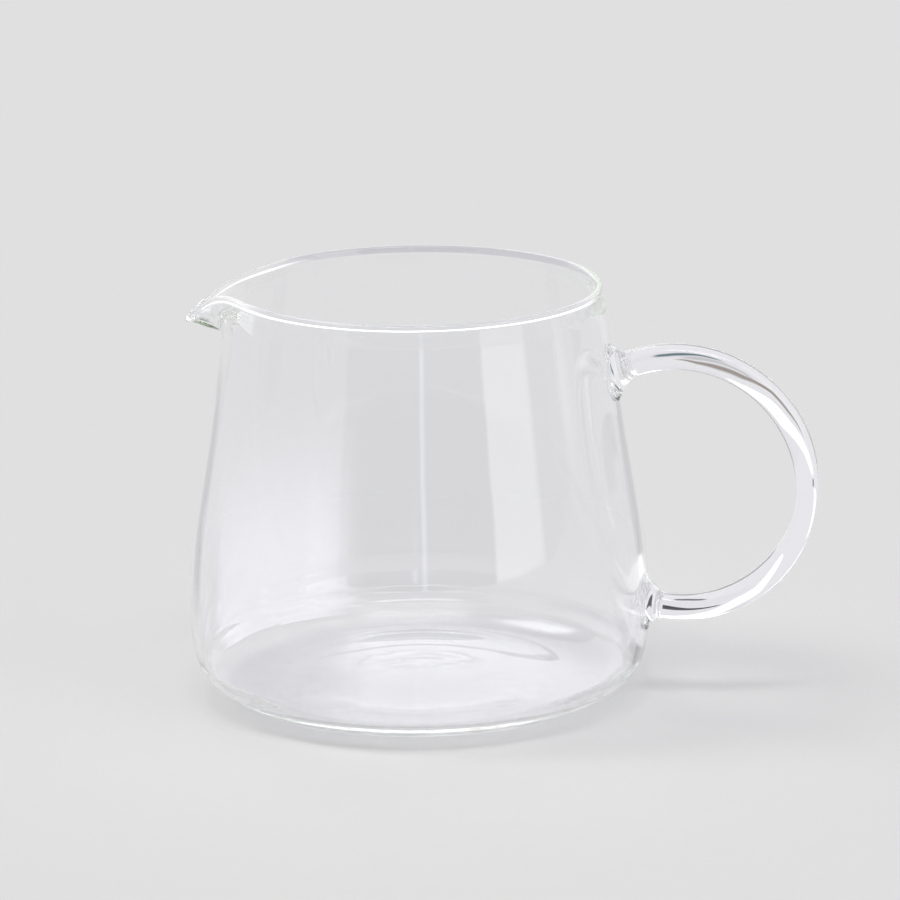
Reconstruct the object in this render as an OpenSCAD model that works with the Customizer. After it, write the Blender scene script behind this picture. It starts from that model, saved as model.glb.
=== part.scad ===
// Blown glass coffee server with a pulled pouring lip and a bent rod handle.
// The body stands on z = 0 with its axis on Z. The handle is at +X and the lip at -X.

/* [Body] */
// Height of the rim's top above the table
body_h = 95; // [80:1:125]
// Outer radius at the widest level
belly_r = 53; // [50:0.5:58]
// Height of the widest level
belly_z = 18.5; // [17:0.5:22]
// Radius of the long arc above the widest level
side_arc_r = 143; // [110:1:200]
// Radius of the arc just below the widest level
low_arc_r = 44; // [38:1:52]
// Radius of the tight turn at the heel
heel_r = 9.2; // [8:0.2:10.4]
// Radius of the shallow arc from the heel to the foot
foot_arc_r = 22; // [19:1:26]
// Outer radius of the ring that touches the table
foot_r = 36; // [34:0.5:37.5]
// Width of the ring that touches the table
foot_ring_w = 4; // [2:0.5:8]
// Height of the pushed-up centre under the base
foot_recess = 0.7; // [0.3:0.1:1.2]
// Thickness of the blown wall
wall = 1.8; // [1.4:0.1:2.4]
// Height of the inside floor above the table
floor_z = 2.6; // [2.4:0.1:4]

/* [Rim and lip] */
// Outer radius of the rim
rim_r = 42.5; // [39:0.5:46]
// How far the melted round of the rim stands into the mouth beyond the wall
rim_bulge = 0.2; // [0.05:0.05:0.5]
// How far the lip is pulled out beyond the rim circle
lip_reach = 11; // [6:0.5:14]
// How far the lip's tip is pulled down
lip_drop = 7.4; // [4:0.1:9]
// Angle from the lip's middle at which the pull has died out
lip_half_angle = 21.5; // [16:0.5:30]
// How sharply the lip narrows towards its tip
lip_taper = 1.75; // [1.3:0.05:2.4]
// Depth of the fold under the lip, down from the middle of the rim's round
lip_fold_z = 10.8; // [9.5:0.1:14]
// Length over which the fold under the lip bends, each side of its corner
lip_fold_l = 2.6; // [2.2:0.1:3.5]
// How much the rim sinks beside the lip
rim_sag = 1.2; // [0.4:0.1:2]
// Angle from the lip's middle at which the rim is level again
rim_sag_angle = 44; // [36:1:60]

/* [Handle] */
// Radius of the handle's bend, on the rod's centre line
handle_bend_r = 29.4; // [26:0.2:33]
// How far the bend's centre stands out from the widest level
handle_off = 7; // [4:0.5:12]
// Height of the bend's centre
handle_z = 50.5; // [47:0.5:54]
// Thickness of the solid glass rod
rod_d = 6.1; // [5:0.1:8]

/* [Welds] */
// Length of melted glass between the rod's upper end and the wall
upper_weld_l = 5; // [3.5:0.25:7]
// Length of melted glass between the rod's lower end and the wall
lower_weld_l = 4.2; // [3.5:0.25:7]
// How far the upper weld spreads on the wall beyond the rod
upper_weld_spread = 3; // [1.5:0.1:5]
// How far the lower weld spreads on the wall beyond the rod
lower_weld_spread = 3.4; // [1.5:0.1:5]

/* [Hidden] */

// How far the room for the lip runs past the wall
overrun = 4;

// The lip's glass stands this much proud of the turned wall on each face.
stand_out = 0.05;
// Where it laps the turned wall it thins out into it by this much on each face.
thin_out = 0.4;
// How far it laps the turned wall, in height and in angle
lap = 1.2;
lap_angle = 2;
// The tip is rounded over this angle.
lip_nose_angle = 0.8;
// The drop follows the pull by this power.
drop_power = 1.7;
// The fold climbs towards the lip's sides until this share of its depth is left.
fold_left_share = 0.25;
fold_rise_power = 0.6;
// A bend takes at most this share of the short glass beside it.
bend_share = 0.45;
// The straight glass from the fold to the edge is divided at these shares of its length.
stretch_shares = [0.25, 0.5];

// Columns on each side of the lip's middle, how they crowd towards it, and steps along a column
lip_columns = 21;
crowd = 1.5;
fold_steps = 6;
edge_steps = 9;

// A weld spreads by this power of the way from the rod to the wall.
spread_power = 2.2;
// A weld is this much narrower across than it is tall.
weld_width_share = 0.86;
// Steps along a weld, points round it, and the rings of its face on the wall as shares of its
// outline
weld_steps = 8;
weld_sides = 28;
seat_shares = [0.75, 0.5, 0.25];
// Clearance between a weld's face and the wall
hair = 0.02;

// Halvings used to find where the bend meets the wall
halvings = 30;

// Steps along the arcs of the turned section
foot_steps = 5;
heel_steps = 14;
low_steps = 5;
side_steps = 9;
round_steps = 16;

turn_fn = 180;
bend_fn = 360;
rod_fn = 64;

glass = [0.80, 0.90, 0.90];
thick_glass = [0.66, 0.80, 0.74];

rod_r = rod_d/2;
rim_round_r = (wall + rim_bulge)/2;
rim_c = [rim_r - rim_round_r, body_h - rim_round_r];
handle_c = [belly_r + handle_off, handle_z];

// Centres of the arcs of the body's outline, as [distance from the axis, height]
side_c = [belly_r - side_arc_r, belly_z];
low_c = [belly_r - low_arc_r, belly_z];
foot_c = [foot_r, foot_arc_r];
heel_c = crossing(low_c, low_arc_r - heel_r, foot_c, foot_arc_r - heel_r);

// Angles at which one arc of the outline hands over to the next
foot_end = atan2(heel_c.y - foot_c.y, heel_c.x - foot_c.x);
heel_end = atan2(heel_c.y - low_c.y, heel_c.x - low_c.x);

// The straight side touches both the long arc and the rim's round.
rim_from_c = rim_c - side_c;
side_angle = atan2(rim_from_c.y, rim_from_c.x) - acos((side_arc_r - rim_round_r)/norm(rim_from_c));
up_side = [-sin(side_angle), cos(side_angle)];
off_side = [cos(side_angle), sin(side_angle)];
side_reach = side_c*off_side + side_arc_r;
side_top_z = belly_z + side_arc_r*sin(side_angle);

// Lowest level of the lip's own glass
lip_low_z = rim_c.y - lip_fold_z - 2*lip_fold_l;

// Angles on the bend, from +X towards +Z, where it meets the wall and where the rod ends
upper_meet = meeting(90, 150, halvings);
lower_meet = meeting(-90, -150, halvings);
upper_end = upper_meet - bend_angle(upper_weld_l);
lower_end = lower_meet + bend_angle(lower_weld_l);

// Where a circle of radius a about p crosses a circle of radius b about q, on the lower side
function crossing(p, a, q, b) =
    let (
        gap = q - p,
        d = norm(gap),
        u = gap/d,
        k = (a*a - b*b + d*d)/(2*d),
        h = sqrt(a*a - k*k)
    ) p + k*u + h*[u.y, -u.x];

// Points along an arc of radius r about c
function arc_points(c, r, from, to, steps) =
    [for (i = [0:steps]) let (a = from + (to - from)*i/steps) c + r*[cos(a), sin(a)]];

// Distance of the straight side from the axis at a height, drawn in by an inset
function side_r(z, inset) = (side_reach - inset - z*off_side.y)/off_side.x;

// Outer radius of the body at a height, from the arc below the belly up to the rim
function wall_r(z) =
    z < belly_z ? low_c.x + sqrt(pow(low_arc_r, 2) - pow(z - belly_z, 2))
    : z < side_top_z ? side_c.x + sqrt(pow(side_arc_r, 2) - pow(z - belly_z, 2))
    : side_r(z, 0);

// Angle by which the wall faces upwards at a height
function wall_tilt(z) =
    z < belly_z ? asin((z - belly_z)/low_arc_r)
    : z < side_top_z ? asin((z - belly_z)/side_arc_r)
    : side_angle;

// Outline of the body from its standing level to the straight side, drawn in by an inset
function body_points(inset, level) =
    concat(
        arc_points(foot_c, foot_arc_r - inset,
            asin(max(-1, (level - foot_c.y)/(foot_arc_r - inset))), foot_end, foot_steps),
        arc_points(heel_c, heel_r - inset, foot_end, heel_end, heel_steps),
        arc_points(low_c, low_arc_r - inset, heel_end, 0, low_steps),
        arc_points(side_c, side_arc_r - inset, 0, side_angle, side_steps)
    );

// Angle through which the rim's round runs, from the outer face over the top to the inner
// face, when the glass is thicker by more on each face
function round_sweep(more) = 180 + acos((wall + more - rim_round_r)/(rim_round_r + more));

// Points of a rim's round about c, starting on the side off and heading along run
function round_points(c, off, run, more, steps) =
    [for (i = [0:steps]) let (b = round_sweep(more)*i/steps)
        c + (rim_round_r + more)*(cos(b)*off + sin(b)*run)];

// Wall, floor, foot ring and rounded rim in one turned section
module turned_body() {
    foot_in = foot_r - foot_ring_w;
    hollow = body_points(wall, floor_z);
    rotate_extrude($fn = turn_fn)
        polygon(concat(
            [[0, foot_recess], [foot_in - foot_recess, foot_recess], [foot_in, 0]],
            body_points(0, 0),
            round_points(rim_c, off_side, up_side, 0, round_steps),
            [for (i = [len(hollow) - 1:-1:0]) hollow[i]],
            [[0, floor_z]]
        ));
}

// The lip's own glass is a grid of columns. A column is a closed loop in a plane through
// the axis: up the outside, round the melted edge and down the inside. Its middle line
// climbs the wall, bends over at the fold and runs straight to the pulled edge.

// Share of the pull at an angle from the lip's middle
function pull_share(a) =
    let (soft = sqrt(a*a + pow(lip_nose_angle, 2)) - lip_nose_angle)
    pow(max(0, 1 - soft/lip_half_angle), lip_taper);

// How far the rim has sunk at an angle from the lip's middle
function sag_at(a) = abs(a) < rim_sag_angle ? rim_sag*pow(cos(90*a/rim_sag_angle), 2) : 0;

// Middle of the unpulled wall at a height
function mid_wall(z) = [side_r(z, wall/2), z];

// Middle of the glass at the pulled edge, level with the centre of its round
function lip_edge(a) =
    let (p = pull_share(a))
    mid_wall(rim_c.y - sag_at(a)) + [lip_reach*p, -lip_drop*pow(p, drop_power)];

// Corner of the fold, on the middle of the wall
function lip_fold(a) =
    let (left = fold_left_share + (1 - fold_left_share)*pow(pull_share(a), fold_rise_power))
    mid_wall(rim_c.y - lip_fold_z*left);

function outwards(u) = [u.y, -u.x];

// Point and heading of a bend from p towards c and on to q, at a share t of the way
function bend_point(p, c, q, t) = pow(1 - t, 2)*p + 2*t*(1 - t)*c + t*t*q;
function bend_heading(p, c, q, t) =
    let (v = (1 - t)*(c - p) + t*(q - c)) v/norm(v);

// Loop of one column, as [distance from the axis, height], with the glass thicker by more
// on each face than the wall, and thinned out at its foot
function lip_loop(a, more) =
    let (
        edge = lip_edge(a),
        corner = lip_fold(a),
        reach = norm(edge - corner),
        run = (edge - corner)/reach,
        leg = min(lip_fold_l, bend_share*reach),
        p = corner - leg*up_side,
        q = corner + leg*run,
        off = outwards(run),
        half = wall/2 + more,
        spine = concat(
            [[mid_wall(lip_low_z), off_side, wall/2 - thin_out]],
            [[mid_wall(lip_low_z + lap/2), off_side, half]],
            [for (i = [0:fold_steps]) let (t = i/fold_steps)
                [bend_point(p, corner, q, t), outwards(bend_heading(p, corner, q, t)), half]],
            [for (s = stretch_shares) [q + s*(edge - q), off, half]]
        )
    )
    concat(
        [for (s = spine) s[0] + s[2]*s[1]],
        round_points(edge - (rim_round_r - wall/2)*off, off, run, more, edge_steps),
        [for (i = [len(spine) - 1:-1:0]) spine[i][0] - spine[i][2]*spine[i][1]]
    );

// Angle from the lip's middle and thickening of each column. The columns crowd towards the
// middle, and the last one on each side is thinned out into the wall.
lip_span = [for (i = [-lip_columns:lip_columns])
    [rim_sag_angle*sign(i)*pow(abs(i)/lip_columns, crowd), stand_out]];
lip_grid = concat(
    [[-rim_sag_angle - lap_angle, -thin_out], [-rim_sag_angle - lap_angle/2, stand_out]],
    lip_span,
    [[rim_sag_angle + lap_angle/2, stand_out], [rim_sag_angle + lap_angle, -thin_out]]
);

// Pouring lip with its share of the rim, as one closed skin
module lip() {
    loops = [for (g = lip_grid) lip_loop(g[0], g[1])];
    m = len(loops[0]);
    n = len(loops);
    points = [for (i = [0:n - 1]) let (a = lip_grid[i][0])
        for (p = loops[i]) [-p.x*cos(a), p.x*sin(a), p.y]];
    skin = [for (i = [0:n - 2], j = [0:m - 1]) let (k = (j + 1)%m)
        each [[i*m + j, (i + 1)*m + j, (i + 1)*m + k], [i*m + j, (i + 1)*m + k, i*m + k]]];
    ends = [
        [for (j = [0:m - 1]) j],
        [for (j = [m - 1:-1:0]) (n - 1)*m + j]
    ];
    polyhedron(points = points, faces = concat(skin, ends));
}

// Room in the turned wall for the lip's own glass
module lip_room() {
    cut_z = lip_low_z + lap;
    rotate([0, 0, 180 - rim_sag_angle])
        rotate_extrude(angle = 2*rim_sag_angle, $fn = turn_fn)
            translate([rim_r - overrun, cut_z])
                square([belly_r - rim_r + overrun, body_h - cut_z + overrun]);
}

module vessel() {
    color(glass) {
        difference() {
            turned_body();
            lip_room();
        }
        lip();
    }
}

// Angle on the bend that a length of rod takes up
function bend_angle(l) = l/handle_bend_r*180/PI;

// Point of the bend at an angle
function bend_at(a) = handle_c + handle_bend_r*[cos(a), sin(a)];

// Angle between out and in at which the bend runs into the wall
function meeting(out, in, n) =
    let (a = (out + in)/2, p = bend_at(a))
    n == 0 ? a : p.x > wall_r(p.y) ? meeting(a, in, n - 1) : meeting(out, a, n - 1);

module handle_rod() {
    color(glass)
        translate([handle_c.x, 0, handle_c.y])
            rotate([90, 0, 0])
                rotate([0, 0, lower_end])
                    rotate_extrude(angle = upper_end - lower_end, $fn = bend_fn)
                        translate([handle_bend_r, 0])
                            circle(r = rod_r, $fn = rod_fn);
}

// Point on the wall's outer face at a height z and a distance y aside, a hair clear of it
function seat_at(y, z) = [sqrt(pow(wall_r(z), 2) - y*y) + hair, y, z];

// Ring of a weld at a share s of the way from the rod's end to the wall. Its plane turns
// from square to the rod to flat on the wall, and its points settle onto the round wall.
function weld_ring(end, meet, spread, s) =
    let (
        c = bend_at(end + s*(meet - end)),
        foot = bend_at(meet),
        tilt = wall_tilt(foot.y),
        from_rod = end + s*(meet - end) + 90*sign(meet - end),
        turn = ((180 + tilt - from_rod + 540)%360) - 180,
        h = from_rod + s*turn,
        r = rod_r + spread*pow(s, spread_power),
        w = r*(1 - s*(1 - weld_width_share))
    )
    [for (i = [0:weld_sides - 1])
        let (
            q = c + r*cos(360*i/weld_sides)*[-sin(h), cos(h)],
            y = w*sin(360*i/weld_sides),
            flat = foot.x - (q.y - foot.y)*tan(tilt)
        ) [q.x + pow(s, 3)*(seat_at(y, q.y).x - flat), y, q.y]];

// Melted glass between one end of the rod and the wall. It is a grid of rings from the rod
// to the wall and on over the wall to the weld's middle, with a flat face at the rod.
module weld(end, meet, spread) {
    foot_z = bend_at(meet).y;
    rim = weld_ring(end, meet, spread, 1);
    rings = concat(
        [for (k = [0:weld_steps]) weld_ring(end, meet, spread, k/weld_steps)],
        [for (t = seat_shares) [for (p = rim) seat_at(t*p.y, foot_z + t*(p.z - foot_z))]]
    );
    n = len(rings);
    m = weld_sides;
    points = concat([for (r = rings) each r], [seat_at(0, foot_z)]);
    skin = [for (k = [0:n - 2], i = [0:m - 1]) let (j = (i + 1)%m)
        each [[k*m + i, (k + 1)*m + i, (k + 1)*m + j], [k*m + i, (k + 1)*m + j, k*m + j]]];
    middle = [for (i = [0:m - 1]) [(n - 1)*m + i, n*m, (n - 1)*m + (i + 1)%m]];
    faces = concat(skin, middle, [[for (i = [0:m - 1]) i]]);
    polyhedron(points = points, faces = meet > end
        ? faces
        : [for (f = faces) [for (i = [len(f) - 1:-1:0]) f[i]]]);
}

module upper_weld() {
    color(thick_glass)
        weld(upper_end, upper_meet, upper_weld_spread);
}

module lower_weld() {
    color(thick_glass)
        weld(lower_end, lower_meet, lower_weld_spread);
}

vessel();
handle_rod();
upper_weld();
lower_weld();
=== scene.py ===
"""Clear blown glass coffee server on a pale floor, in a bright soft studio.

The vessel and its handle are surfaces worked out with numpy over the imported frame. Sizes are
in millimetres until a mesh is made, and the frame is in metres.
"""
import math

import bpy
import numpy as np
from mathutils import Matrix, Vector


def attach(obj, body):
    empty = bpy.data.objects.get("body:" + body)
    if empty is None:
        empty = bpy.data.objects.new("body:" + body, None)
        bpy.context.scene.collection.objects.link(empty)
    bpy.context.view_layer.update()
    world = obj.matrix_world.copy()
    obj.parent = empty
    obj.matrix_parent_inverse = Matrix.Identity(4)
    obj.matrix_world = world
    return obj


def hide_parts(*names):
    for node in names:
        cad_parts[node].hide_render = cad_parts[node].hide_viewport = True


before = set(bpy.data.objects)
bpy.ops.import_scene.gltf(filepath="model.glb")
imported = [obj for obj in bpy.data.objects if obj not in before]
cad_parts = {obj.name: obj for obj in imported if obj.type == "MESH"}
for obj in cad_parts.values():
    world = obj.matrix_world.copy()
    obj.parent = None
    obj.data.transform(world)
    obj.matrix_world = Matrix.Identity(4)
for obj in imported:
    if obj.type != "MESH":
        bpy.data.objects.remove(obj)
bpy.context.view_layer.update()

MM = 0.001

# Sizes of the body, as the part's source names them
BODY_H = 95.0
BELLY_R, BELLY_Z = 53.0, 18.5
SIDE_ARC_R, LOW_ARC_R, HEEL_R, FOOT_ARC_R = 143.0, 44.0, 9.2, 22.0
FOOT_R, FOOT_RING_W = 36.0, 4.0
WALL, FLOOR_Z, FLOOR_FLAT_R = 1.8, 2.6, 20.0

# The base is pushed up by a shallow cone with a rounded tip, after a tiny step at its edge
PUSH_UP, PUSH_ROUND, PUSH_STEP, PUSH_STEP_W = 0.7, 5.0, 0.04, 1.5

# The heel's glass is thicker than the wall, apart from one side
HEEL_EXTRA, HEEL_THIN_AT, HEEL_THIN_OVER = 1.1, -80.0, 170.0

# Rim and lip
RIM_R, RIM_BULGE, BEAD_R = 42.5, 0.2, 0.8
THIN_OUT, THIN_IN, THIN_OVER = 0.3, 0.4, 5.0
LIP_REACH, LIP_DROP, LIP_HALF_ANGLE, LIP_TAPER = 11.0, 7.4, 31.0, 2.7
LIP_FOLD_Z, LIP_FOLD_L = 10.8, 2.6
RIM_SAG, RIM_SAG_ANGLE = 1.2, 44.0
LIP_NOSE_ANGLE, DROP_POWER = 0.8, 1.7
FOLD_LEFT, FOLD_RISE_POWER, BEND_SHARE = 0.6, 0.6, 0.45
FLIGHT_SHARES = (0, 0.2, 0.4, 0.6, 0.75)

# Handle and welds
BEND_R, BEND_X, BEND_Z, ROD_R = 29.4, 60.0, 50.5, 3.05
ROD_DRAWN, ROD_DRAWN_AT, ROD_DRAWN_OVER = 0.12, -10.0, 50.0
UPPER_WELD_L, LOWER_WELD_L = 5.0, 4.2
UPPER_SPREAD, LOWER_SPREAD, SPREAD_POWER, WELD_WIDTH = 3.8, 3.6, 2.2, 0.86
HAIR = 0.02
HALVINGS = 40
SEAT_SHARES = (0.8, 0.6, 0.4, 0.2)

# Steps of the half section's curves, and of the rings
FOOT_STEPS, HEEL_STEPS, LOW_STEPS, SIDE_STEPS, STRAIGHT_STEPS = 4, 18, 5, 9, 4
INNER_HEEL_STEPS, INNER_FLOOR_STEPS = 20, 22
BASE_MIDDLE_R, BASE_MIDDLE_STEPS, BASE_EDGE_STEPS = 24.0, 6, 16
BEND_STEPS, BEAD_POINTS = 10, 25
VESSEL_COLUMNS, ROD_SIDES, ROD_RINGS, WELD_RINGS = 520, 64, 171, 19

# Glass: its refraction, its surface's tint, and the colour and density of what it absorbs
GLASS_IOR = 1.47
GLASS_TINT = (0.988, 0.988, 1.0, 1)
GLASS_LEAVES, GLASS_DEPTH = (0.7, 1.0, 0.5, 1), 0.5

# Drawn in by 0.02 mm, so that the round stays inside the flats that the part's source cuts
SNUG = 0.9996


# body of revolution

def arc(centre, radius, start, stop, steps):
    """Points of a circle: the centre plus the radius at even angles from start to stop, in
    degrees. The last one is left out, as the next curve begins there."""
    a = np.radians(np.linspace(start, stop, steps + 1))[:-1]
    return np.asarray(centre) + radius * np.stack([np.cos(a), np.sin(a)], axis=1)


def crossing(p, a, q, b):
    """Lower crossing of a circle of radius a about p with a circle of radius b about q."""
    gap = np.subtract(q, p)
    d = np.hypot(*gap)
    u = gap / d
    k = (a * a - b * b + d * d) / (2 * d)
    return np.asarray(p) + k * u + math.sqrt(a * a - k * k) * np.array([u[1], -u[0]])


ROUND_R = (WALL + RIM_BULGE) / 2
RIM_C = np.array([RIM_R - ROUND_R, BODY_H - ROUND_R])
SIDE_C = np.array([BELLY_R - SIDE_ARC_R, BELLY_Z])
LOW_C = np.array([BELLY_R - LOW_ARC_R, BELLY_Z])
FOOT_C = np.array([FOOT_R, FOOT_ARC_R])
HEEL_C = crossing(LOW_C, LOW_ARC_R - HEEL_R, FOOT_C, FOOT_ARC_R - HEEL_R)
FOOT_END = math.degrees(math.atan2(*(HEEL_C - FOOT_C)[::-1]))
HEEL_END = math.degrees(math.atan2(*(HEEL_C - LOW_C)[::-1]))
_to_rim = RIM_C - SIDE_C
SIDE_ANGLE = math.degrees(math.atan2(_to_rim[1], _to_rim[0])
                          - math.acos((SIDE_ARC_R - ROUND_R) / np.hypot(*_to_rim)))
OFF_SIDE = np.array([math.cos(math.radians(SIDE_ANGLE)), math.sin(math.radians(SIDE_ANGLE))])
UP_SIDE = np.array([-OFF_SIDE[1], OFF_SIDE[0]])
SIDE_REACH = float(SIDE_C @ OFF_SIDE) + SIDE_ARC_R
SIDE_TOP_Z = BELLY_Z + SIDE_ARC_R * OFF_SIDE[1]
LIP_LOW_Z = RIM_C[1] - LIP_FOLD_Z - 2 * LIP_FOLD_L


def side_r(z, inset):
    """Distance of the straight side from the axis at a height: the line that touches both the
    long arc and the rim's round, drawn in by the inset."""
    return (SIDE_REACH - inset - z * OFF_SIDE[1]) / OFF_SIDE[0]


def wall_r(z):
    """Outer radius at a height: the low arc, then the long arc, then the straight side."""
    z = np.asarray(z, float)
    low = LOW_C[0] + np.sqrt(np.maximum(LOW_ARC_R ** 2 - (z - BELLY_Z) ** 2, 0))
    long = SIDE_C[0] + np.sqrt(np.maximum(SIDE_ARC_R ** 2 - (z - BELLY_Z) ** 2, 0))
    return np.where(z < BELLY_Z, low, np.where(z < SIDE_TOP_Z, long, side_r(z, 0)))


def wall_tilt(z):
    """Angle in degrees by which the wall faces upwards at a height."""
    if z < BELLY_Z:
        return math.degrees(math.asin((z - BELLY_Z) / LOW_ARC_R))
    if z < SIDE_TOP_Z:
        return math.degrees(math.asin((z - BELLY_Z) / SIDE_ARC_R))
    return SIDE_ANGLE


def smooth(t):
    """0 below 0, 1 above 1, and 3t squared less 2t cubed between."""
    t = np.clip(t, 0, 1)
    return t * t * (3 - 2 * t)


def outside_section():
    """Outer half section from the base's centre to the foot of the lip's glass: the pushed-up
    centre falls to the foot ring, then come the foot, heel, low and long arcs and the side."""
    inner = FOOT_R - FOOT_RING_W / 2
    r = np.concatenate([np.linspace(0, BASE_MIDDLE_R, BASE_MIDDLE_STEPS + 1),
                        np.linspace(BASE_MIDDLE_R, FOOT_R, BASE_EDGE_STEPS + 1)[1:-1]])
    fall = (np.hypot(r, PUSH_ROUND) - PUSH_ROUND) / (math.hypot(inner, PUSH_ROUND) - PUSH_ROUND)
    push = (PUSH_STEP * smooth((inner - r) / PUSH_STEP_W)
            + (1 - PUSH_STEP) * np.maximum(0, 1 - fall))
    straight = np.linspace(SIDE_TOP_Z, LIP_LOW_Z, STRAIGHT_STEPS + 1)[:-1]
    return np.concatenate([
        np.stack([r, PUSH_UP * push], axis=1),
        arc(FOOT_C, FOOT_ARC_R, -90, FOOT_END, FOOT_STEPS),
        arc(HEEL_C, HEEL_R, FOOT_END, HEEL_END, HEEL_STEPS),
        arc(LOW_C, LOW_ARC_R, HEEL_END, 0, LOW_STEPS),
        arc(SIDE_C, SIDE_ARC_R, 0, SIDE_ANGLE, SIDE_STEPS),
        np.stack([side_r(straight, 0), straight], axis=1),
    ])


def heel_extra(a):
    """How much thicker than the wall the heel's glass is at an azimuth in degrees: the full
    extra, less a smooth dip about the azimuth that has none of it."""
    off = np.abs((a - HEEL_THIN_AT + 180) % 360 - 180)
    return HEEL_EXTRA * (1 - smooth(1 - off / HEEL_THIN_OVER))


def inside_section(extra):
    """Inner half section from the foot of the lip's glass down to the floor's centre: the
    outer section drawn in by the wall, with the floor thickening towards the middle and the
    heel by an extra that rises and falls over its arc."""
    r = np.linspace(0, FOOT_R, INNER_FLOOR_STEPS + 1)[:-1]
    thick = FLOOR_Z + (WALL - FLOOR_Z) * smooth((r - FLOOR_FLAT_R) / (FOOT_R - FLOOR_FLAT_R))
    straight = np.linspace(SIDE_TOP_Z, LIP_LOW_Z, STRAIGHT_STEPS + 1)[:-1]
    rise = smooth(1 - np.abs(np.linspace(-1, 1, INNER_HEEL_STEPS + 1)))[:-1, None]
    heel_r = HEEL_R - WALL - extra * rise
    return np.concatenate([
        np.stack([r, thick], axis=1),
        arc(FOOT_C, FOOT_ARC_R - WALL, -90, FOOT_END, FOOT_STEPS),
        arc(HEEL_C, heel_r, FOOT_END, HEEL_END, INNER_HEEL_STEPS),
        arc(LOW_C, LOW_ARC_R - WALL, HEEL_END, 0, LOW_STEPS),
        arc(SIDE_C, SIDE_ARC_R - WALL, 0, SIDE_ANGLE, SIDE_STEPS),
        np.stack([side_r(straight, WALL), straight], axis=1),
    ])[::-1]


# pouring lip

def pull_share(a):
    """Share of the lip's pull at an angle from its middle: 1 less the angle over the half
    angle, to the taper's power, with the tip rounded over the nose angle."""
    soft = np.sqrt(a * a + LIP_NOSE_ANGLE ** 2) - LIP_NOSE_ANGLE
    return np.maximum(0, 1 - soft / LIP_HALF_ANGLE) ** LIP_TAPER


def sag_at(a):
    """How far the rim has sunk beside the lip: a squared cosine that ends at the sag angle."""
    inside = np.abs(a) < RIM_SAG_ANGLE
    return np.where(inside, RIM_SAG * np.cos(np.radians(90 * a / RIM_SAG_ANGLE)) ** 2, 0)


def mid_wall(z):
    """Middle of the unpulled wall at a height."""
    return np.stack([side_r(z, WALL / 2), z], axis=-1)


def turned_out(heading):
    """A heading turned a quarter clockwise, so that it points out of the glass."""
    return np.stack([heading[..., 1], -heading[..., 0]], axis=-1)


def lip_columns(angles):
    """Columns of the lip's glass, one for each angle, as (outer side and round, inner side).

    The middle line climbs the wall, takes a quadratic bend at the fold's corner and runs
    straight to the edge. The faces stand half a wall off it and come closer towards the edge,
    by a smooth step of the distance that is left, and a round bead closes the edge. It stands
    proud of the thin neck on both faces.
    """
    pull = pull_share(angles)
    edge = mid_wall(RIM_C[1] - sag_at(angles)) + np.stack(
        [LIP_REACH * pull, -LIP_DROP * pull ** DROP_POWER], axis=-1)
    left = FOLD_LEFT + (1 - FOLD_LEFT) * pull ** FOLD_RISE_POWER
    corner = mid_wall(RIM_C[1] - LIP_FOLD_Z * left)
    reach = np.linalg.norm(edge - corner, axis=1)[:, None]
    run = (edge - corner) / reach
    leg = np.minimum(LIP_FOLD_L * (2 - pull[:, None]), BEND_SHARE * reach)
    p, q = corner - leg * UP_SIDE, corner + leg * run
    off = turned_out(run)

    foot = mid_wall(np.full(len(angles), LIP_LOW_Z))
    climb = np.linspace(0, 1, STRAIGHT_STEPS + 1)[:-1]
    line = foot[:, None] + climb[None, :, None] * (p - foot)[:, None]
    line_off = np.broadcast_to(OFF_SIDE, line.shape)
    t = np.linspace(0, 1, BEND_STEPS + 1)[:-1][None, :, None]
    bend = (1 - t) ** 2 * p[:, None] + 2 * t * (1 - t) * corner[:, None] + t * t * q[:, None]
    heading = (1 - t) * (corner - p)[:, None] + t * (q - corner)[:, None]
    heading = heading / np.linalg.norm(heading, axis=-1, keepdims=True)
    s = np.array(FLIGHT_SHARES)[None, :, None]
    flight = q[:, None] + s * (edge - q)[:, None]
    flight_off = np.broadcast_to(off[:, None], flight.shape)

    middle = np.concatenate([line, bend, flight], axis=1)
    normal = np.concatenate([line_off, turned_out(heading), flight_off], axis=1)
    set_out = WALL / 2 - BEAD_R
    start = -math.acos((BEAD_R - THIN_OUT) / BEAD_R)
    stop = 2 * math.pi - math.acos((THIN_IN - WALL / 2 - set_out) / BEAD_R)
    b = np.linspace(start, stop, BEAD_POINTS)[None, :, None]
    centre = (edge + set_out * off + (ROUND_R - BEAD_R) * run)[:, None]
    bead = centre + BEAD_R * (np.cos(b) * off[:, None] + np.sin(b) * run[:, None])
    to_edge = np.linalg.norm(middle - edge[:, None], axis=-1, keepdims=True)
    thin = smooth(1 - to_edge / THIN_OVER)
    outer = np.concatenate([middle + (WALL / 2 - THIN_OUT * thin) * normal, bead], axis=1)
    inner = (middle + (THIN_IN * thin - WALL / 2) * normal)[:, ::-1]
    return outer, inner


def vessel_surface(columns):
    """The vessel as a closed grid: each column is the half section at its angle, from the
    base's centre up the outside, round the edge and down the inside to the floor's centre.
    The columns lie three times closer at the lip than on the handle's side, by a sine."""
    s = np.arange(columns) / columns
    angles = 360 * (s - 0.5 * np.sin(2 * np.pi * s) / (2 * np.pi))
    angles = np.where(angles > 180, angles - 360, angles)
    section = outside_section()[1:]
    outside = np.broadcast_to(section, (columns,) + section.shape)
    outer, inner = lip_columns(angles)
    inside = np.stack([inside_section(extra)[:-1] for extra in heel_extra(180 - angles)])
    grid = np.concatenate([outside, outer, inner, inside], axis=1)
    a = np.radians(180 - angles)[:, None]
    r = grid[..., 0] * SNUG
    points = np.stack([r * np.cos(a), r * np.sin(a), grid[..., 1]], axis=-1)
    poles = np.array([[0, 0, outside_section()[0, 1]], [0, 0, inside_section(0)[-1, 1]]])
    return points, poles


# handle

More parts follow.
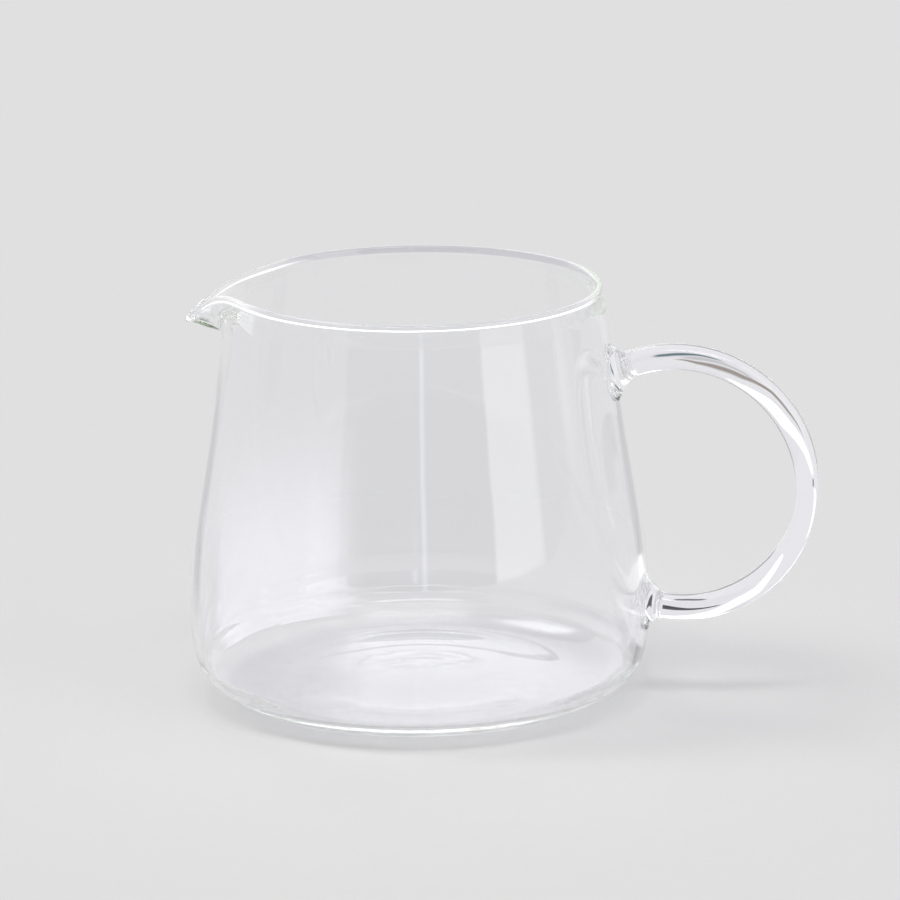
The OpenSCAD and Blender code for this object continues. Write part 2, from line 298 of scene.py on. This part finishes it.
def bend_at(a):
    """Point of the handle's bend at an angle in degrees, as (distance from the axis, height)."""
    a = np.radians(a)
    return np.stack([BEND_X + BEND_R * np.cos(a), BEND_Z + BEND_R * np.sin(a)], axis=-1)


def meeting(out, back):
    """Angle between out and back at which the bend runs into the wall, by halving."""
    for _ in range(HALVINGS):
        a = (out + back) / 2
        x, z = bend_at(a)
        out, back = (a, back) if x > wall_r(z) else (out, a)
    return (out + back) / 2


def seat_at(y, z):
    """Points on the wall's outer face at a height and a distance aside, a hair clear of it."""
    return np.stack([np.sqrt(wall_r(z) ** 2 - y * y) + HAIR, y, z], axis=-1)


def weld_rings(end, meet, spread, s, sides):
    """Rings of a weld at shares s of the way from the rod to the wall. The plane of a ring
    turns by s, the shorter way round, from square to the rod to flat on the wall. Its radius
    grows by a power of s, and its points settle onto the round wall by the cube of s."""
    s = s[:, None]
    b = 2 * np.pi * np.arange(sides)[None] / sides
    foot = bend_at(meet)
    tilt = wall_tilt(foot[1])
    from_rod = end + s * (meet - end) + 90 * np.sign(meet - end)
    turn = (180 + tilt - from_rod + 540) % 360 - 180
    h = np.radians(from_rod + s * turn)
    r = ROD_R + spread * s ** SPREAD_POWER
    w = r * (1 - s * (1 - WELD_WIDTH))
    c = bend_at((end + s * (meet - end))[:, 0])
    x = c[:, :1] - r * np.cos(b) * np.sin(h)
    z = c[:, 1:] + r * np.cos(b) * np.cos(h)
    y = w * np.sin(b)
    flat = foot[0] - (z - foot[1]) * math.tan(math.radians(tilt))
    x = x + s ** 3 * (seat_at(y, z)[..., 0] - flat)
    return np.stack([x, y, z], axis=-1)


def rod_r(a):
    """Radius of the rod at an angle on the bend: it was drawn a little thinner low on the
    outside of the bend, by a smooth dip about the thinnest angle."""
    return ROD_R * (1 - ROD_DRAWN * smooth(1 - np.abs(a - ROD_DRAWN_AT) / ROD_DRAWN_OVER))


def handle_surface(sides):
    """The rod and both its welds as one closed skin of rings, from the lower weld's face on
    the wall, up the bend and on to the upper weld's face on the wall."""
    low, high = meeting(-90, -150), meeting(90, 150)
    bend = 180 / (math.pi * BEND_R)
    low_end, high_end = low + LOWER_WELD_L * bend, high - UPPER_WELD_L * bend
    s = np.linspace(0, 1, WELD_RINGS)
    lower = weld_rings(low_end, low, LOWER_SPREAD, s, sides)
    upper = weld_rings(high_end, high, UPPER_SPREAD, s, sides)

    # The lower weld's rings begin on the outside of the bend and run the other way, so their
    # points are put into the order of the rod's.
    b = 2 * np.pi * np.arange(sides)[None] / sides
    a = np.linspace(low_end, high_end, ROD_RINGS)[1:-1]
    c, u, r = bend_at(a), np.radians(a)[:, None], rod_r(a)[:, None]
    rod = np.stack([c[:, :1] + r * np.cos(b) * -np.cos(u),
                    r * np.sin(b),
                    c[:, 1:] + r * np.cos(b) * -np.sin(u)], axis=-1)
    lower = lower[:, (sides // 2 - np.arange(sides)) % sides]

    seats = []
    for ring, meet in ((lower[-1], low), (upper[-1], high)):
        z0 = bend_at(meet)[1]
        t = np.array(SEAT_SHARES)[:, None]
        seats.append(seat_at(t * ring[None, :, 1], z0 + t * (ring[None, :, 2] - z0)))
    rings = np.concatenate([seats[0][::-1], lower[::-1], rod, upper, seats[1]])
    poles = np.stack([seat_at(np.array(0.0), bend_at(m)[1]) for m in (low, high)])
    return rings, poles


# meshes

def skin(name, rows, poles, material):
    """A closed mesh from rows of points that run round it, with a pole at each end.

    rows[i, j] joins rows[i, j + 1], and the first and last row fan in to their poles.
    """
    n, m = rows.shape[:2]
    points = np.concatenate([rows.reshape(-1, 3), poles]) * MM
    i, j = np.meshgrid(np.arange(n - 1), np.arange(m), indexing="ij")
    k = (j + 1) % m
    quads = np.stack([i * m + j, i * m + k, (i + 1) * m + k, (i + 1) * m + j],
                     axis=-1).reshape(-1, 4)
    j, k = np.arange(m), (np.arange(m) + 1) % m
    low = np.stack([np.full(m, n * m), k, j], axis=-1)
    high = np.stack([(n - 1) * m + j, (n - 1) * m + k, np.full(m, n * m + 1)], axis=-1)
    loops = np.concatenate([quads.ravel(), low.ravel(), high.ravel()])
    counts = np.concatenate([np.full(len(quads), 4), np.full(2 * m, 3)])
    mesh = bpy.data.meshes.new(name)
    mesh.vertices.add(len(points))
    mesh.vertices.foreach_set("co", points.ravel())
    mesh.loops.add(len(loops))
    mesh.loops.foreach_set("vertex_index", loops.astype(np.int32))
    mesh.polygons.add(len(counts))
    mesh.polygons.foreach_set("loop_start", np.concatenate([[0], np.cumsum(counts)[:-1]])
                              .astype(np.int32))
    mesh.update(calc_edges=True)
    mesh.validate()
    mesh.shade_smooth()
    obj = bpy.data.objects.new(name, mesh)
    bpy.context.scene.collection.objects.link(obj)
    mesh.materials.append(material)
    # The signed volume says whether the faces point outwards.
    mesh.calc_loop_triangles()
    tri = np.empty(len(mesh.loop_triangles) * 3, np.int32)
    mesh.loop_triangles.foreach_get("vertices", tri)
    p = points[tri.reshape(-1, 3)]
    if np.einsum("ij,ij->i", p[:, 0], np.cross(p[:, 1], p[:, 2])).sum() < 0:
        mesh.flip_normals()
    return obj


# materials

# The backdrop's grey, as it is written in linear light
BACKGROUND = (0.745, 0.745, 0.745, 1)

# Where the floor begins and ends to take on the backdrop's grey, in metres from its middle
FLOOR_FADE = (0.08, 0.17)

# Smallest share of a screen over which its edge fades
SHARP_EDGE = 0.001


class Nodes:
    """A node tree, emptied, and short ways to fill it."""

    def __init__(self, tree):
        self.tree = tree
        tree.nodes.clear()

    def node(self, kind, settings=None, **values):
        """A node of a kind: its settings first, then values or links for its sockets, where
        an underscore in a socket's name stands for a space."""
        made = self.tree.nodes.new(kind)
        for key, value in (settings or {}).items():
            setattr(made, key, value)
        for key, value in values.items():
            socket = made.inputs[key.replace("_", " ")]
            if isinstance(value, Socket):
                self.tree.links.new(value.socket, socket)
            else:
                socket.default_value = value
        return made

    def out(self, node, name):
        """An output of a node by its name, ready for sums."""
        return Socket(self, node.outputs[name])

    def mix(self, share, low, high):
        """A mix of two shaders: low at share 0 and high at share 1."""
        made = self.node("ShaderNodeMixShader", Fac=share)
        self.tree.links.new(low.outputs[0], made.inputs[1])
        self.tree.links.new(high.outputs[0], made.inputs[2])
        return made

    def finish(self, kind, surface, volume=None):
        """The tree's output node, of a kind, with its surface and perhaps a volume."""
        end = self.tree.nodes.new(kind)
        self.tree.links.new(surface.outputs[0], end.inputs["Surface"])
        if volume is not None:
            self.tree.links.new(volume.outputs[0], end.inputs["Volume"])


def new_material(name):
    """A new material and its nodes."""
    material = bpy.data.materials.new(name)
    material.use_nodes = True
    return material, Nodes(material.node_tree)


class Socket:
    """An output of a node that takes part in sums: each operator adds its Math node."""

    def __init__(self, owner, socket):
        self.owner, self.socket = owner, socket

    def _math(self, operation, a, b):
        made = self.owner.tree.nodes.new("ShaderNodeMath")
        made.operation = operation
        for slot, value in zip(made.inputs, (a, b)):
            if isinstance(value, Socket):
                self.owner.tree.links.new(value.socket, slot)
            else:
                slot.default_value = value
        return Socket(self.owner, made.outputs[0])

    def __add__(self, other):
        return self._math("ADD", self, other)

    def __radd__(self, other):
        return self._math("ADD", other, self)

    def __sub__(self, other):
        return self._math("SUBTRACT", self, other)

    def __rsub__(self, other):
        return self._math("SUBTRACT", other, self)

    def __mul__(self, other):
        return self._math("MULTIPLY", self, other)

    def __rmul__(self, other):
        return self._math("MULTIPLY", other, self)


def clear_glass(name, wave, grain):
    """Clear glass: a Principled surface that lets all light through, a slow noise that waves
    the surface by a depth in metres, with its grain for each axis, and a faint absorption with
    depth that leaves the glass green where it is thick."""
    material, m = new_material(name)
    place = m.out(m.node("ShaderNodeTexCoord"), "Object")
    drawn = m.node("ShaderNodeMapping", Vector=place, Scale=grain)
    noise = m.node("ShaderNodeTexNoise", Vector=m.out(drawn, "Vector"), Scale=1.0,
                   Detail=2.0, Roughness=0.5)
    bump = m.node("ShaderNodeBump", Strength=1.0, Distance=wave, Height=m.out(noise, "Fac"))
    surface = m.node("ShaderNodeBsdfPrincipled", Base_Color=GLASS_TINT, Roughness=0.0,
                     IOR=GLASS_IOR, Transmission_Weight=1.0, Normal=m.out(bump, "Normal"))
    volume = m.node("ShaderNodeVolumeAbsorption", Color=GLASS_LEAVES, Density=GLASS_DEPTH)
    m.finish("ShaderNodeOutputMaterial", surface, volume)
    return material


def backdrop_share(m):
    """1 for what the camera, a reflection or a view through glass sees, 0 for other light."""
    path = m.node("ShaderNodeLightPath")
    seen = (m.out(path, "Is Camera Ray") + m.out(path, "Is Glossy Ray")
            + m.out(path, "Is Transmission Ray"))
    return m.out(m.node("ShaderNodeClamp", Value=seen), "Result")


def floor_paint(name):
    """Matt paint of the background's grey. With the distance from the object it takes on the
    backdrop's own even grey, so that the floor runs into the backdrop without an edge."""
    material, m = new_material(name)
    place = m.out(m.node("ShaderNodeTexCoord"), "Object")
    away = m.node("ShaderNodeVectorMath", {"operation": "LENGTH"}, Vector=place)
    far = m.node("ShaderNodeMapRange", {"interpolation_type": "SMOOTHSTEP"},
                 Value=m.out(away, "Value"), From_Min=FLOOR_FADE[0], From_Max=FLOOR_FADE[1])
    paint = m.node("ShaderNodeBsdfPrincipled", Base_Color=BACKGROUND, Roughness=1.0,
                   Specular_IOR_Level=0.0)
    even = m.node("ShaderNodeEmission", Color=BACKGROUND, Strength=1.0)
    share = m.out(far, "Result") * backdrop_share(m)
    m.finish("ShaderNodeOutputMaterial", m.mix(share, paint, even))
    return material


def screen_paint(name, strength, colour, soft):
    """Light of a studio screen, even in the middle. Towards each edge, over a share of the
    width or the height, the screen thins out and the backdrop shows. Two soft shares are for
    the width and the height, and four for the start and the end of each."""
    material, m = new_material(name)
    place = m.out(m.node("ShaderNodeTexCoord"), "UV")
    split = m.node("ShaderNodeSeparateXYZ", Vector=place)
    across, up = m.out(split, "X"), m.out(split, "Y")
    edges = soft if len(soft) == 4 else (soft[0], soft[0], soft[1], soft[1])
    fades = []
    for inwards, edge in zip((across, 1 - across, up, 1 - up), edges):
        fade = m.node("ShaderNodeMapRange", {"interpolation_type": "SMOOTHSTEP"},
                      Value=inwards, From_Min=0.0, From_Max=max(edge, SHARP_EDGE))
        fades.append(m.out(fade, "Result"))
    light = m.node("ShaderNodeEmission", Color=colour, Strength=strength)
    clear = m.node("ShaderNodeBsdfTransparent")
    share = fades[0] * fades[1] * fades[2] * fades[3]
    m.finish("ShaderNodeOutputMaterial", m.mix(share, clear, light))
    return material


# camera

# The picture's width and the focal length in pixels, and the sensor's width in millimetres
PHOTO, FOCAL_PX, SENSOR_MM = 900, 4584.58, 36.0

# The distance in millimetres from the point aimed at, which lies to the right of the axis
# and above the floor, and the angles in degrees
CAMERA_DISTANCE, AIM = 1050.0, (7.368, 55.95)
CAMERA_TURN, CAMERA_RISE, CAMERA_ROLL = 10.0, 14.7135, -0.6455

# The nearest and the farthest that the camera sees, in metres
CLIP = (0.01, 100.0)


def studio(x, y, z):
    """A point of the studio, with x to the camera's right, y away from it and z up, in the
    frame of the part, whose handle is turned towards the camera."""
    t = math.radians(CAMERA_TURN)
    return Vector((x * math.cos(t) - y * math.sin(t), x * math.sin(t) + y * math.cos(t), z))


def make_camera():
    """A camera at the photograph's place, with its rise, turn and slight roll."""
    e, roll = math.radians(CAMERA_RISE), math.radians(CAMERA_ROLL)
    right = studio(1, 0, 0)
    ahead = studio(0, math.cos(e), -math.sin(e))
    up = studio(0, math.sin(e), math.cos(e))
    x = math.cos(roll) * right + math.sin(roll) * up
    y = math.cos(roll) * up - math.sin(roll) * right
    at = studio(AIM[0], 0, AIM[1]) - CAMERA_DISTANCE * ahead
    camera = bpy.data.cameras.new("camera")
    camera.sensor_fit = "HORIZONTAL"
    camera.sensor_width = SENSOR_MM
    camera.lens = SENSOR_MM * FOCAL_PX / PHOTO
    camera.clip_start, camera.clip_end = CLIP
    obj = bpy.data.objects.new("camera", camera)
    obj.matrix_world = Matrix((
        (x[0], y[0], -ahead[0], at[0] * MM),
        (x[1], y[1], -ahead[1], at[1] * MM),
        (x[2], y[2], -ahead[2], at[2] * MM),
        (0, 0, 0, 1),
    ))
    bpy.context.scene.collection.objects.link(obj)
    bpy.context.scene.camera = obj


make_camera()


# studio

def make_world(colour, level):
    """The backdrop: its own grey for the camera and for what the glass shows, and a plain
    pale light for everything else."""
    world = bpy.data.worlds.new("studio")
    world.use_nodes = True
    bpy.context.scene.world = world
    w = Nodes(world.node_tree)
    light = w.node("ShaderNodeBackground", Color=colour, Strength=level)
    shown = w.node("ShaderNodeBackground", Color=BACKGROUND)
    w.finish("ShaderNodeOutputWorld", w.mix(backdrop_share(w), light, shown))


# Colours of the screens and cards
WHITE, CREAM, SKY = (1, 1, 1, 1), (1, 1, 0.9, 1), (0.82, 0.92, 1.0, 1)
LILAC, TEAL, BROWN = (0.975, 0.97, 1, 1), (0.6, 0.9, 1, 1), (1, 0.88, 0.8, 1)
# The board and rim greys are for dim cards that only glass shows: painted shade at the vessel's
# edges and on its far rim.
DAYLIGHT, BOARD_GREY, FAR_RIM_SHADE = (0.95, 0.945, 1, 1), (0.97, 0.96, 1, 1), (0.96, 0.95, 1, 1)

# Radius and height of the floor in metres, and the sides of its disc
STAGE_R, STAGE_Z, STAGE_SIDES = 1.6, -0.0002, 96

# Points along and across a screen, a card behind the rod and a drum
SCREEN_POINTS, CARD_POINTS, BAND_POINTS = (25, 13), (61, 9), (97, 9)

# Kinds of light path that don't see a sheet
THROUGH_GLASS_ONLY = ("diffuse", "glossy", "shadow")
MIRRORED_ONLY = ("diffuse", "transmission")
FLOOR_ONLY = ("glossy", "transmission")


def even_shares(n, k):
    """Even shares from 0 to 1 along and across a sheet of n by k points, as two grids."""
    return np.meshgrid(np.linspace(0, 1, n), np.linspace(0, 1, k), indexing="ij")


def stage_sheet(name, points, material, hidden=()):
    """A sheet of the studio from a grid of points in metres, with the grid's shares as its UV
    map. The camera doesn't see it, and the kinds of light path in hidden don't either."""
    n, k = points.shape[:2]
    u, v = even_shares(n, k)
    i, j = np.meshgrid(np.arange(n - 1), np.arange(k - 1), indexing="ij")
    corner = (i * k + j).ravel()
    faces = np.stack([corner, corner + 1, corner + k + 1, corner + k], axis=-1)
    mesh = bpy.data.meshes.new(name)
    mesh.from_pydata(points.reshape(-1, 3).tolist(), [], faces.tolist())
    layer = mesh.uv_layers.new(name="UVMap")
    place = np.stack([u.ravel(), v.ravel()], axis=-1)[faces.ravel()]
    layer.uv.foreach_set("vector", place.ravel())
    mesh.materials.append(material)
    obj = bpy.data.objects.new(name, mesh)
    obj.visible_camera = False
    for kind in hidden:
        setattr(obj, "visible_" + kind, False)
    bpy.context.scene.collection.objects.link(obj)


def screen(name, turn, rise, distance, strength, colour=WHITE, soft=(0.1, 0.1), hidden=()):
    """A studio screen: a patch of a sphere about the object. It runs between two azimuths to
    the right of the camera and between two rises above the floor, all in degrees. The
    distance is in metres."""
    u, v = even_shares(*SCREEN_POINTS)
    a = np.radians(turn[0] + u * (turn[1] - turn[0]) + CAMERA_TURN)
    e = np.radians(rise[0] + v * (rise[1] - rise[0]))
    points = distance * np.stack([np.sin(a) * np.cos(e), -np.cos(a) * np.cos(e), np.sin(e)],
                                 axis=-1)
    stage_sheet(name, points, screen_paint(name, strength, colour, soft), hidden)


def through_rod(h, r, behind):
    """Where a line of sight that meets the rod at a share h of its radius r arrives at a
    distance behind the rod's middle, by the law of refraction at both faces."""
    turn = 2 * (np.arcsin(h) - np.arcsin(h / GLASS_IOR))
    return (h * r - behind * np.sin(turn)) / np.cos(turn)


def rod_painted_light_card(name, marks, strength, colour, soft=(0.15, 0.15), behind=12.0):
    """A narrow card behind the handle, by a distance in millimetres, which only the rod's
    refraction shows. A pale card paints a highlight into the rod and a dim one paints shade.
    Each mark is an angle on the bend and the two shares of the rod's radius, outwards from
    its middle, between which the card shows there."""
    e = math.radians(CAMERA_RISE)
    ahead = np.array(studio(0, math.cos(e), -math.sin(e)))
    marks = np.array(marks, float)
    u, v = even_shares(*CARD_POINTS)
    a, low, high = (np.interp(u * (len(marks) - 1), np.arange(len(marks)), column)
                    for column in marks.T)
    r = BEND_R + through_rod(low + v * (high - low), rod_r(a), behind)
    a = np.radians(a)
    points = np.stack([BEND_X + r * np.cos(a), 0 * r, BEND_Z + r * np.sin(a)], axis=-1)
    stage_sheet(name, (points + behind * ahead) * MM,
                screen_paint(name, strength, colour, soft), THROUGH_GLASS_ONLY)


def band(name, r, turn, heights, strength, colour, soft):
    """A piece of an upright drum of card about the axis, which only glass shows, so that its
    colour paints light and shade into the glass. Its radius and its two heights are in
    millimetres, and it runs between two azimuths to the right of the camera, in degrees."""
    u, v = even_shares(*BAND_POINTS)
    a = np.radians(turn[0] + u * (turn[1] - turn[0]) + CAMERA_TURN)
    z = heights[0] + v * (heights[1] - heights[0])
    points = np.stack([r * np.sin(a), -r * np.cos(a), z], axis=-1)
    stage_sheet(name, points * MM, screen_paint(name, strength, colour, soft),
                THROUGH_GLASS_ONLY)


def make_floor():
    """A disc of floor that runs into the backdrop, a hair below the glass."""
    a = np.linspace(0, 2 * np.pi, STAGE_SIDES, endpoint=False)
    ring = np.stack([STAGE_R * np.cos(a), STAGE_R * np.sin(a), 0 * a + STAGE_Z], axis=1)
    mesh = bpy.data.meshes.new("floor")
    mesh.from_pydata(ring.tolist(), [], [tuple(range(len(ring)))])
    mesh.materials.append(floor_paint("floor_paint"))
    obj = bpy.data.objects.new("floor", mesh)
    bpy.context.scene.collection.objects.link(obj)


make_world(DAYLIGHT, 0.69)
make_floor()

# A dim sheet overhead that only glass shows: painted shade in the glass. Then light from above,
# from behind and from the side. The key's shadow falls to the right.
screen("overhead", (-180, 180), (60, 90), 2.9, 0.15, WHITE, (0.0, 0.1), THROUGH_GLASS_ONLY)
screen("back_screen", (105, 255), (5.5, 34), 2.6, 1.5, soft=(0.2, 0.06), hidden=("diffuse",))
screen("back_top", (115, 245), (34, 80), 2.5, 1.12, soft=(0.2, 0.35))
screen("back_lamp", (190, 210), (38, 56), 2.4, 4.2, soft=(0.3, 0.3))
screen("top_lamp", (-50, 60), (62, 74), 2.4, 5.6, soft=(0.2, 0.2))
screen("key", (-108, -82), (40, 62), 2.3, 6.5, CREAM, (0.2, 0.2), FLOOR_ONLY)

# What the body's wall mirrors: a dim aisle with a bright slit, between windows on both sides
screen("left_screen", (-105, -41), (-2, 60), 2.5, 0.7, soft=(0.02, 0.04))
screen("far_left_screen", (-170, -110), (-10, 8), 2.5, 1.8, WHITE, (0.1, 0.3), MIRRORED_ONLY)
screen("right_window", (39, 67), (-2, 60), 2.5, 1.7, soft=(0.02, 0.04))
screen("right_post", (67, 90), (-2, 14), 2.5, 0.5, soft=(0.05, 0.1))
screen("far_right_window", (66, 98), (-2, 60), 2.7, 1.2, soft=(0.05, 0.04))
screen("aisle", (-41, 39), (-2, 60), 2.5, 0.2, soft=(0.01, 0.04))
screen("slit", (0.9, 5.4), (-12, 40), 2.3, 1.7, SKY, (0.45, 0.45, 0.02, 0.65))

# Sheets that only glass shows, as painted shade and painted light in it: dark edges at both
# sides, a pale left side and a grey far rim
screen("left_board", (228, 246), (-8, 50), 0.1, 0.56, BOARD_GREY, (0.2, 0.3),
       THROUGH_GLASS_ONLY)
screen("right_board", (114, 132), (-8, 50), 0.1, 0.56, BOARD_GREY, (0.2, 0.3),
       THROUGH_GLASS_ONLY)
band("left_glow", 58.0, (192, 244), (-40, 62), 0.92, LILAC, (0.3, 0.12, 0.0, 0.45))
band("rim_band", 42.75, (-70, 242), (93.2, 95.3), 0.62, FAR_RIM_SHADE, (0.1, 0.2))

# Painted highlights and painted shade in the rod, from cards that only glass shows: its light
# and dark streaks, from its upper weld round to its lower one
rod_painted_light_card("pale", [(112, -0.9, 0.9), (-108, -0.9, 0.9)], 0.84, LILAC, (0.02, 0.02), 13.0)
rod_painted_light_card("outer_line", [(104, 0.9, 0.97), (-8, 0.9, 0.97)], 0.4, LILAC)
rod_painted_light_card("inner_line", [(98, -0.97, -0.9), (0, -0.97, -0.88)], 0.4, LILAC)
rod_painted_light_card("grey_core", [(90, -0.25, -0.05), (80, -0.25, 0.1), (70, -0.1, 0.15),
                       (60, -0.05, 0.15), (52, 0, 0.1)], 0.6, LILAC, (0.2, 0.3), 12.5)
rod_painted_light_card("dark_upper", [(101, -0.02, 0.22), (94, -0.1, 0.24), (87, -0.06, 0.3),
                        (80, 0.08, 0.3), (66, 0.16, 0.25)], 0.22, TEAL, (0.15, 0.4))
rod_painted_light_card("dark_lower", [(92, -0.3, -0.2), (86, -0.36, -0.22), (80, -0.51, -0.24),
                        (70, -0.55, -0.12), (59, -0.45, -0.02), (52, -0.2, 0.14),
                        (45, 0.02, 0.36), (35, 0.05, 0.34), (28, 0.2, 0.38),
                        (18, 0.3, 0.38)], 0.32, BROWN, (0.12, 0.4))
rod_painted_light_card("white_upper", [(68, -0.8, -0.74), (58, -0.86, -0.63), (50, -0.85, -0.45),
                         (43, -0.8, -0.25), (31, -0.75, -0.1), (23, -0.45, 0.15),
                         (16, -0.15, 0.3), (10, 0.05, 0.42), (4, 0.3, 0.5)], 1.4,
         WHITE, (0.1, 0.15))
rod_painted_light_card("painted_shade_speck", [(4.5, 0.26, 0.46), (0, 0.28, 0.48)], 0.25, LILAC, (0.3, 0.3), 11.5)
rod_painted_light_card("white_side", [(0, 0.4, 0.58), (-4, 0.5, 0.75), (-10, 0.6, 0.82), (-18, 0.7, 0.87),
                        (-27, 0.8, 0.9)], 1.4, WHITE, (0.1, 0.2))
rod_painted_light_card("white_lower", [(-32, -0.42, -0.28), (-38, -0.38, -0.05), (-44, -0.25, 0.2),
                         (-52, 0.0, 0.6), (-62, 0.05, 0.65), (-74, 0.4, 0.88),
                         (-90, 0.65, 0.92), (-104, 0.7, 0.92)], 1.4, WHITE, (0.06, 0.1))
rod_painted_light_card("dark_start", [(-97, -0.15, 0.25), (-92, -0.1, 0.25), (-84, 0.02, 0.22),
                        (-76, 0.08, 0.2), (-68, 0.12, 0.18)], 0.08, LILAC, (0.1, 0.2))
rod_painted_light_card("dark_inside", [(-92, -0.66, -0.5), (-84, -0.68, -0.52), (-74, -0.52, -0.42)], 0.15,
         LILAC, (0.2, 0.2))
rod_painted_light_card("inner_edge", [(-98, -0.97, -0.9), (-34, -0.97, -0.85)], 0.3, LILAC, (0.1, 0.2))


# glass

blown_glass = clear_glass("body_glass", 0.0001, (55, 55, 22))
drawn_glass = clear_glass("rod_glass", 0.00002, (60, 60, 60))

columns, column_poles = vessel_surface(VESSEL_COLUMNS)
vessel = skin("glass_vessel", columns.transpose(1, 0, 2), column_poles, blown_glass)
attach(vessel, "root")
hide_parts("vessel")

rings, ring_poles = handle_surface(ROD_SIDES)
handle = skin("glass_handle", rings, ring_poles, drawn_glass)
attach(handle, "root")
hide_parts("handle_rod", "upper_weld", "lower_weld")

# Bounces enough for the light that the rim and the welds keep turning round
GLASS_BOUNCES = 256

scene = bpy.context.scene
scene.view_settings.view_transform = "Standard"
scene.cycles.max_bounces = GLASS_BOUNCES
scene.cycles.transmission_bounces = GLASS_BOUNCES
scene.cycles.glossy_bounces = GLASS_BOUNCES
scene.cycles.blur_glossy = 0.0
